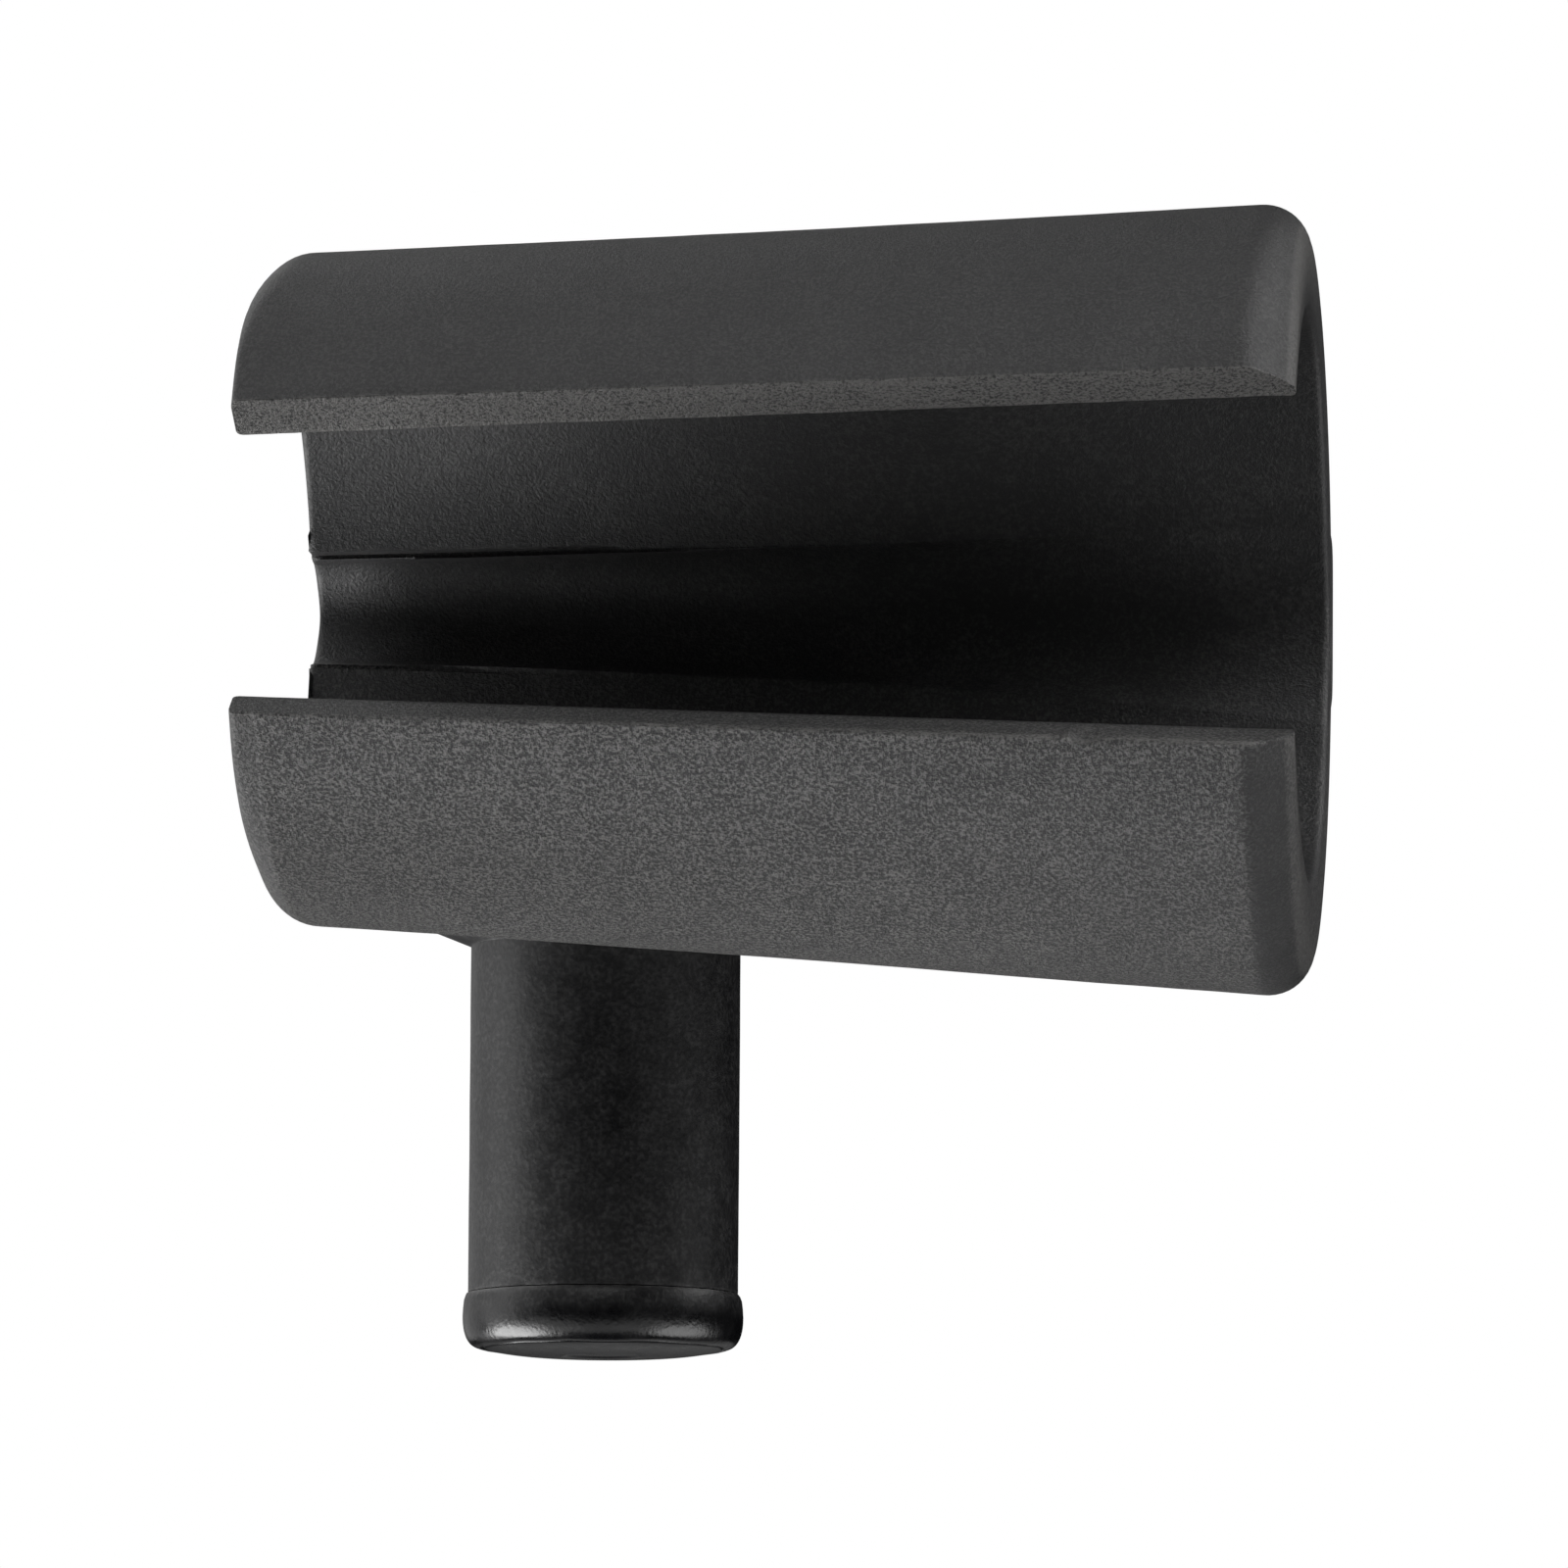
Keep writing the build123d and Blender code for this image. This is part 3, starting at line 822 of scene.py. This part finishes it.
def paint_sleeve(mesh):
    """Where the grain is coarse, where the bore is, where the skin is pale or scuffed, and where
    light and shade are painted.
    """
    x, y, z = points_of(mesh).T
    bore, from_lip = bore_share(x, y, z), distance_from_lip(x, y, z)
    upper = z > MOUTH_RISE
    on_lip = (y < MOUTH_Y) & (np.abs(from_lip) < 0.12)
    small = 1 - smooth_step(x, -8, 30)
    low_down = smooth_step(-z, 8.0, 12.5)
    below = within(z, 0, 1.5)
    coarse = 0.14 + (0.28 + (0.2 + 0.38 * low_down) * small) * below
    coarse = np.where(on_lip, np.where(upper, 0.85, 0.4), coarse) * (1 - 0.75 * bore)

    # The two ends of the lower jaw are smoother: paler at the small end, and darker at the large
    # one with painted shade where its rounding turns away from the light. The very edge of the
    # large end has a painted highlight on both jaws. The edge beside the lower lip is paler too.
    outside = ~on_lip & (bore < 0.5)
    facing = 1 - smooth_step(y, -4, 9)
    in_front = ~upper * outside * facing
    at_small = in_front * within(x - SMALL_X, 1.2, 0.1)
    at_large = in_front * within(LARGE_X - x, 2.0, 0.1)
    coarse = coarse * (1 - 0.6 * at_small) * (1 - 0.4 * at_large)
    # Painted shade: -0.2 darkens the lower jaw's rounding at the large end, where it turns away
    # from the light.
    tone_and_painted_light = 0.16 * at_small - 0.2 * at_large - 0.14 * in_front * low_down * small
    tone_and_painted_light += 0.1 * in_front * within(from_lip, 1.1, 0.5)
    # Painted shade: the lower lip's face, which faces up and away from the light from below, is
    # darker towards the small end.
    tone_and_painted_light -= 0.14 * on_lip * ~upper * small
    # Painted highlight: a pale strip along the very edge of the large end, on both jaws.
    tone_and_painted_light += 0.5 * outside * facing * within(LARGE_X - x, 0.4, 0.05)

    # Tubes pushed in have scuffed the bore above the upper lip.
    corner = np.arcsin((along(x, LIP_GAP) / 2 + MOUTH_RISE) / TUBE_R)
    from_corner = TUBE_R * (np.arctan2(z, -y) - corner)
    scuff = bore * upper * np.exp(-((from_corner / 3.4) ** 2)) * (from_corner > -0.3)
    rub_and_painted_light = lip_rub_and_painted_light(x, y, z, from_lip, on_lip)
    for name, values in (("coarse", coarse), ("bore", bore), ("rub_and_painted_light", rub_and_painted_light), ("scuff", scuff),
                         ("tone_and_painted_light", tone_and_painted_light)):
        store(mesh, name, values)


def shade(mesh, degrees):
    """Smooth shading that stays sharp at edges over an angle."""
    mesh.shade_smooth()
    mesh.set_sharp_from_angle(angle=np.radians(degrees))


# ---- The spigot and its foot --------------------------------------------------------------

def turned_mesh(name, profile, segments=240):
    """A solid turned about the spigot's axis, from (radius, z) points, with a moulded skin.

    It isn't hollow: the pieces inside the spigot stand in it, out of sight.
    """
    profile = np.array(profile)
    angle = np.linspace(0, 2 * np.pi, segments, endpoint=False)
    radius = profile[:, 0][:, None] + 0 * angle
    z = profile[:, 1][:, None] + 0 * angle
    points = np.stack([radius * np.cos(angle), POST_Y + radius * np.sin(angle), z], axis=2)
    return grid_mesh(name, moulded_skin(points, radius, angle), flat_ends)


def spigot_profile():
    """(radius, z) points from the foot's seam up to the flange's top."""
    top_z, edge_z = spigot_high[2], spigot_high[2] - FLANGE_RIM
    flange_r = (spigot_high[0] - spigot_low[0]) / 2
    hidden_top_r, edge, root = 3.2, 0.1, 0.06
    points = [(HIDDEN_R, SEAM_Z), (SHANK_R - 0.14, SEAM_Z), (SHANK_R - 0.03, SEAM_Z + 0.04),
              (SHANK_R, SEAM_Z + 0.12)]
    points += [(SHANK_R, z) for z in np.linspace(SEAM_Z + 0.3, ROOT_Z - 0.5, 90)]
    points += [(SHANK_R, ROOT_Z - root), (SHANK_R + root, ROOT_Z)]
    points += [(flange_r - 0.12, edge_z - 0.03), (flange_r, edge_z + edge),
               (flange_r, top_z - edge), (flange_r - edge, top_z), (hidden_top_r, top_z)]
    return points


def cap_profile():
    """(radius, z) points from the middle of the domed end up to the seam."""
    low_z, belly_r = cap_low[2], (cap_high[0] - cap_low[0]) / 2
    face_z, belly_z = low_z + 0.34, SEAM_Z - 1.0
    gate_r, gate_z = 1.65, low_z + 0.12
    crease = 0.1                   # how deep it is
    squareness = 2.4               # of the rounding between belly and face: 2 is an ellipse
    points = [(0.3, gate_z), (gate_r - 0.1, gate_z), (gate_r, gate_z - 0.02),
              (gate_r + 0.08, low_z + 0.03)]
    for radius in np.linspace(gate_r + 0.3, CAP_FACE_R - 0.16, 22):
        points.append((radius, face_z - (face_z - low_z) * (1 - (radius / CAP_FACE_R) ** 4)))
    points += [(CAP_FACE_R - 0.11, face_z + 0.01), (CAP_FACE_R - 0.06, face_z + crease),
               (CAP_FACE_R + 0.01, face_z + crease), (CAP_FACE_R + 0.04, face_z)]
    for share in np.linspace(0.08, 1, 18):
        angle = share * np.pi / 2
        out, up = np.sin(angle) ** (2 / squareness), np.cos(angle) ** (2 / squareness)
        points.append((CAP_FACE_R + (belly_r - CAP_FACE_R) * out,
                       belly_z + (face_z - belly_z) * up))
    points += [(belly_r - 0.02, belly_z + 0.35), (belly_r - 0.06, belly_z + 0.7),
               (SHANK_R + 0.1, SEAM_Z - 0.1), (SHANK_R + 0.02, SEAM_Z - 0.01),
               (HIDDEN_R, SEAM_Z)]
    return points


def moulded_skin(points, radius, angle):
    """A ragged line of flash where the cap meets the spigot, an uneven skin and a wavy crease."""
    flash, flash_reach, waves = 0.05, 0.09, 0.012
    crease_waves, crease_reach, clear_of_seam = 0.07, 0.3, 2.0
    around, z = angle * SHANK_R, points[:, :, 2]
    ragged = wander_1d(around, 0.9, 31) + 0.5 * wander_1d(around, 0.3, 33)
    near = np.exp(-(((z - SEAM_Z) / flash_reach) ** 2)) * (radius > SHANK_R - 0.1)
    out = flash * np.clip(0.5 + ragged, 0, 1.4)[None, :] * near
    out = out + waves * wander(points, 3.0, 41) * (radius > SHANK_R - 1)
    points[:, :, 0] += out * np.cos(angle)
    points[:, :, 1] += out * np.sin(angle)
    crease = np.exp(-(((radius - CAP_FACE_R) / crease_reach) ** 2)) * (z < SEAM_Z - clear_of_seam)
    points[:, :, 2] += crease_waves * crease * wander_1d(around, 2.2, 51)[None, :]
    return points


def paint_post(mesh):
    """Rubs the seam pale in places, and polishes the foot's rounding and end."""
    x, y, z = points_of(mesh).T
    radius, around = np.hypot(x, y - POST_Y), np.arctan2(y - POST_Y, x) * SHANK_R
    seam_reach, seam_rub = 0.06, 0.9
    broken = np.clip(0.55 + 1.5 * wander_1d(around, 0.8, 71), 0, 1)
    seam = np.exp(-(((z - SEAM_Z) / seam_reach) ** 2)) * (radius > SHANK_R - 0.2)
    store(mesh, "rub_and_painted_light", seam_rub * seam * broken)
    store(mesh, "matt", smooth_step(z - SEAM_Z, -1.3, -0.5))


# ---- Making it ----------------------------------------------------------------------------

aim_camera()
make_world()
make_floor()
for name, around, above, power in SOFTBOXES:
    softbox(name, around, above, power)
bpy.context.scene.view_settings.view_transform = "Standard"

sleeve = build_sleeve()
paint_sleeve(sleeve.data)
sleeve.data.materials.clear()
sleeve.data.materials.append(grained_nylon())
shade(sleeve.data, degrees=40)
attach(sleeve, "clip")
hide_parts("jaw_sleeve")

for name, profile, node in (("satin_spigot", spigot_profile(), "spigot"),
                            ("glossy_foot", cap_profile(), "foot_cap")):
    piece = link(name, turned_mesh(name, profile))
    paint_post(piece.data)
    piece.data.materials.append(satin_nylon(name))
    shade(piece.data, degrees=35)
    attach(piece, "post")
    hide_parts(node)

brass = turned_metal("turned_brass", (0.72, 0.52, 0.25), (0.5, 0.34, 0.16), 0.3)
steel = turned_metal("turned_steel", (0.6, 0.6, 0.61), (0.45, 0.45, 0.46), 0.25)
plain = acetal()
for name, material in (("thread_insert", brass), ("pivot_bush", brass), ("pivot_screw", steel),
                       ("thrust_washer", plain), ("head_washer", plain)):
    nodes[name].data.materials.clear()
    nodes[name].data.materials.append(material)
